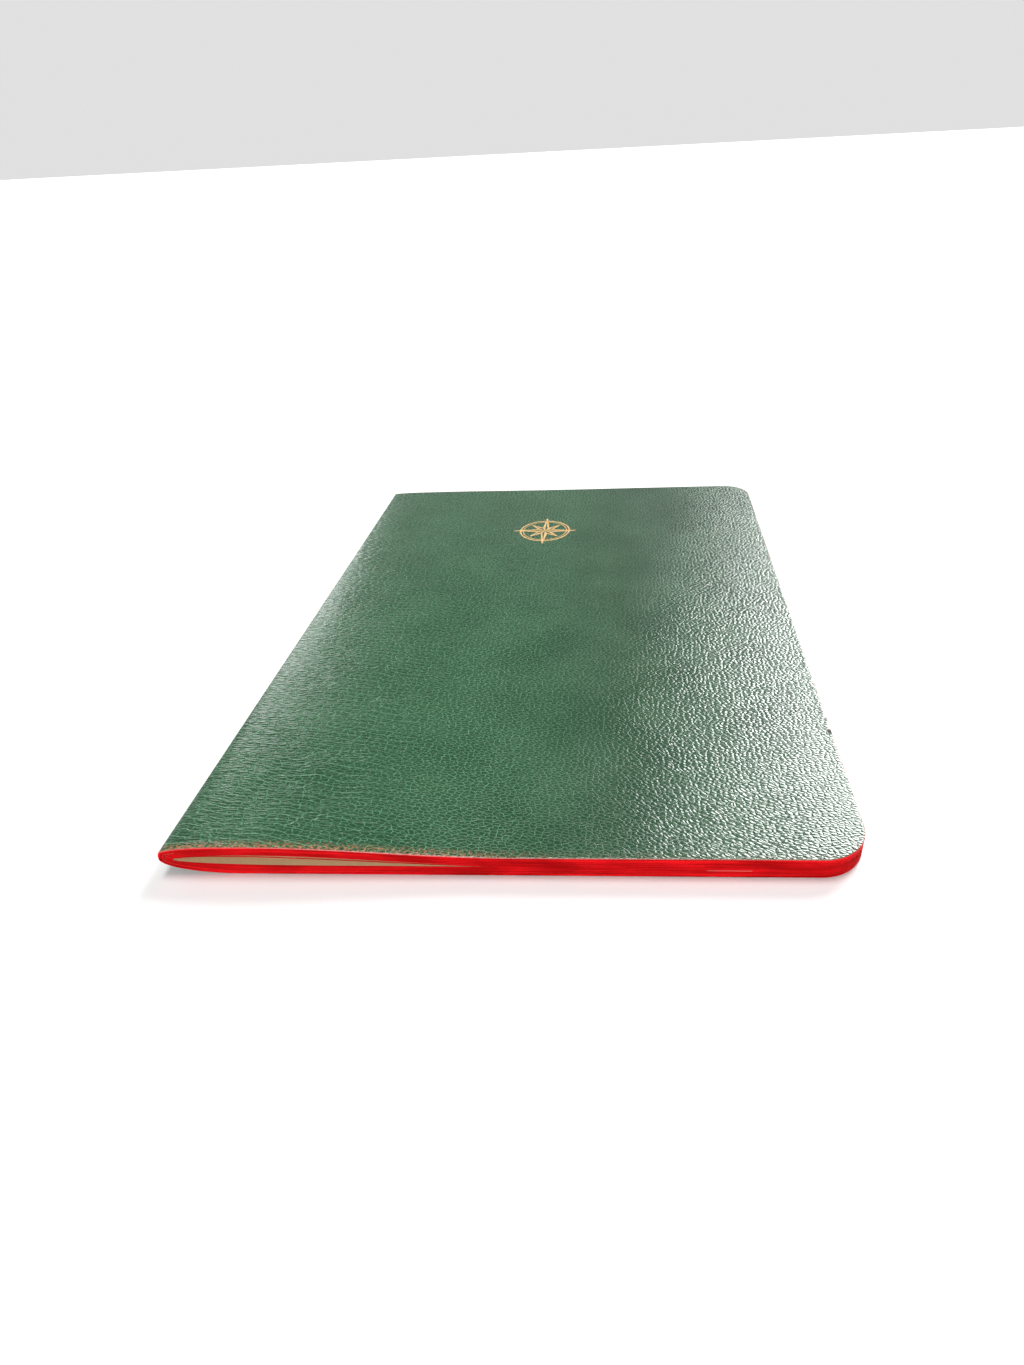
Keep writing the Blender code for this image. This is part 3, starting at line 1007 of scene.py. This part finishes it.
def aim(thing, azimuth, elevation):
    """Point a light's rays down from a compass direction, measured from +Y towards +X."""
    a, e = math.radians(azimuth), math.radians(elevation)
    source = Vector((math.sin(a) * math.cos(e), math.cos(a) * math.cos(e), math.sin(e)))
    thing.rotation_euler = source.to_track_quat("Z", "Y").to_euler()
    thing.location = source


def add_sun(name, power, spread, azimuth, elevation):
    """A soft light from far away, as wide as its spread in degrees."""
    lamp = bpy.data.objects.new(name, bpy.data.lights.new(name, "SUN"))
    lamp.data.energy = power
    lamp.data.angle = math.radians(spread)
    aim(lamp, azimuth, elevation)
    scene.collection.objects.link(lamp)
    return lamp


add_sun("window_light", 3.6, 32.0, 29.0, 29.0)
add_sun("ceiling_light", 1.4, 24.0, 0.0, 80.0)
add_sun("far_wall_light", 0.24, 16.0, -29.0, 15.0)
add_sun("front_fill", 1.5, 50.0, -165.0, 27.0)

world = bpy.data.worlds.new("pale_room")
scene.world = world
world.use_nodes = True
tree = world.node_tree
direction = add_node(tree, "SeparateXYZ", {0: add_node(tree, "TexCoord").outputs["Generated"]})
glow = ramp(tree, direction.outputs[2], 0.12, 0.22, 0.75, 0.2)
tree.links.new(glow, tree.nodes["Background"].inputs["Strength"])
tree.nodes["Background"].inputs["Color"].default_value = (1.0, 1.0, 1.0, 1.0)
scene.view_settings.view_transform = "Standard"

# %% [markdown]
# ## Camera
# The camera stands about 13 cm above the table and 12 cm in front of the tail, a little
# to the right, and looks down along the cover with a wide lens. Standing that close is
# what makes the head look so much narrower than the tail.

# %% Camera
HEADING = 4.5725            # degrees to the left of straight up the book
LOOK_DOWN = 33.7576         # degrees below level
LEAN = 3.0178               # degrees that the camera leans over to its right
STANDS_AT = (25.62 * MM, -220.71 * MM, 125.82 * MM)

turn = (Matrix.Rotation(math.radians(HEADING), 4, "Z")
        @ Matrix.Rotation(math.radians(90.0 - LOOK_DOWN), 4, "X")
        @ Matrix.Rotation(math.radians(-LEAN), 4, "Z"))
camera = bpy.data.objects.new("camera", bpy.data.cameras.new("camera"))
camera.matrix_world = Matrix.Translation(STANDS_AT) @ turn
camera.data.lens = 21.26
camera.data.sensor_width = 36.0
camera.data.shift_x = -0.0475       # the frame lies a little to one side of the lens axis
camera.data.clip_start = 0.005
scene.collection.objects.link(camera)
scene.camera = camera
print("camera stands", round(camera.location.length / MM), "mm from the book's middle")

# %% [markdown]
# ## Final update
# The view layer is brought up to date once more.

# %% Final update
bpy.context.view_layer.update()
